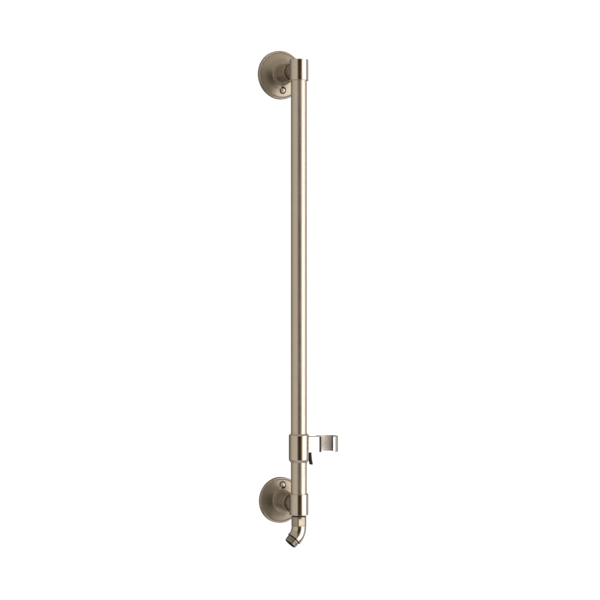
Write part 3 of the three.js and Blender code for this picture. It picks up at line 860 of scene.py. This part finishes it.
def makeFloor():
    # a pale round floor that fades out, low enough to throw little light back up
    radius, foot = floorShape["radius"], -floorShape["thick"]
    where = upright(barX, barY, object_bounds()[0].z - floorShape["drop"])
    floor = turned("floor", [(0, 0, 0), (radius, 0, 0), (radius, foot, 0), (0, foot, 0)], where, 96)
    material, board = newMaterial("pale_floor")
    place = board.node("ShaderNodeTexCoord", {}, {}, output="Object")
    out = board.node("ShaderNodeVectorMath", {"operation": "LENGTH"}, [place], output="Value")
    dim, pale = (shade((1, 1, 1), level) for level in floorShape["tones"])
    tone = blendColour(board, speckle(board, place, 3), dim, pale)
    fade = 1 - ease(board, out, *floorShape["fade"])
    finishMaterial(board, {"Base Color": tone, "Roughness": 0.9, "Specular IOR Level": 0.0, "Alpha": fade})
    floor.data.materials.append(material)


studio = {
    "turn": math.radians(26.5), "distance": 2.75, "lens": 104.4, "rise": -0.3631, "side": 0.0018,
    "around": [  # degrees round the room from its front, and how bright it is there
        (-180, 0.03), (-152, 0.12), (-140, 0.2), (-118, 0.21), (-98, 0.52), (-60, 0.68), (-40, 0.68),
        (-26, 0.72), (-17, 0.5), (-9, 0.1), (0, 0.035), (20, 0.035), (31, 0.2), (41, 1.0), (52, 2.3),
        (88, 2.3), (101, 0.55), (112, 0.5), (128, 0.56), (146, 0.4), (158, 0.28), (170, 0.12), (180, 0.03),
    ],
    "warm": (1.0, 0.93, 0.82), "cool": (1.0, 1.0, 0.99), "dusk": (1.0, 0.78, 0.5),
    "ceiling": (0.52, 0.48, 0.42), "ceilingFrom": (0.18, 0.42),
    "ground": (0.2, 0.175, 0.145), "groundFrom": (-0.36, -0.52),
    "front": (-0.65, -0.25), "plain": 1.06,
}


def makeLight():
    world = bpy.data.worlds.new("studio")
    bpy.context.scene.world = world
    world.use_nodes = True
    board = Board(world.node_tree)
    way = board.node("ShaderNodeTexCoord", {}, {}, output="Generated")
    turn = studio["turn"]
    right = (math.cos(turn), -math.sin(turn), 0.0)
    near = (-math.sin(turn), -math.cos(turn), 0.0)
    u = board.node("ShaderNodeVectorMath", {"operation": "DOT_PRODUCT"}, [way, right], output="Value")
    v = board.node("ShaderNodeVectorMath", {"operation": "DOT_PRODUCT"}, [way, near], output="Value")
    height = board.node("ShaderNodeSeparateXYZ", {}, [way], output="Z")
    bearing = u.sum("ARCTAN2", u, v) / math.tau + 0.5
    warm, cool, dusk = studio["warm"], studio["cool"], studio["dusk"]
    peak = max(level for _, level in studio["around"])
    stops = []
    for degrees, level in studio["around"]:
        tint = cool if level > 1 or degrees > 100 else dusk if level < 0.15 else warm
        stops.append((degrees / 360 + 0.5, tuple(level / peak * channel for channel in tint)))
    ring = board.node("ShaderNodeValToRGB", {"stops": stops}, [bearing])
    rise = ease(board, height, *studio["ceilingFrom"])
    fall = ease(board, height, *studio["groundFrom"])
    front = ease(board, v, *studio["front"])
    ring = blendColour(board, rise * front, ring, shade(studio["ceiling"], 1 / peak))
    ring = blendColour(board, fall * front, ring, shade(studio["ground"], 1 / peak))
    mirror = board.node("ShaderNodeLightPath", {}, {}, output="Is Glossy Ray")
    studioLight = board.node("ShaderNodeBackground", {}, {"Color": ring, "Strength": peak})
    plain = board.node("ShaderNodeBackground", {}, {"Color": (1, 1, 1, 1), "Strength": studio["plain"]})
    mixed = board.node("ShaderNodeMixShader", {}, {0: mirror, 1: plain, 2: studioLight})
    board.node("ShaderNodeOutputWorld", {}, {"Surface": mixed})


def makeCamera():
    turn, distance = studio["turn"], studio["distance"]
    ahead = Vector((math.sin(turn), math.cos(turn), 0))
    right = Vector((math.cos(turn), -math.sin(turn), 0))
    target = Vector((barX, barY, topPost.z + studio["rise"])) + right * studio["side"]
    data = bpy.data.cameras.new("camera")
    data.lens = studio["lens"]
    data.sensor_width = 36
    data.clip_end = 50
    camera = bpy.data.objects.new("camera", data)
    bpy.context.scene.collection.objects.link(camera)
    camera.location = target - ahead * distance
    camera.rotation_euler = ahead.to_track_quat("-Z", "Y").to_euler()
    bpy.context.scene.camera = camera


makeFloor()
makeLight()
makeCamera()
bpy.context.scene.view_settings.view_transform = "Standard"
bpy.context.scene.view_settings.look = "None"
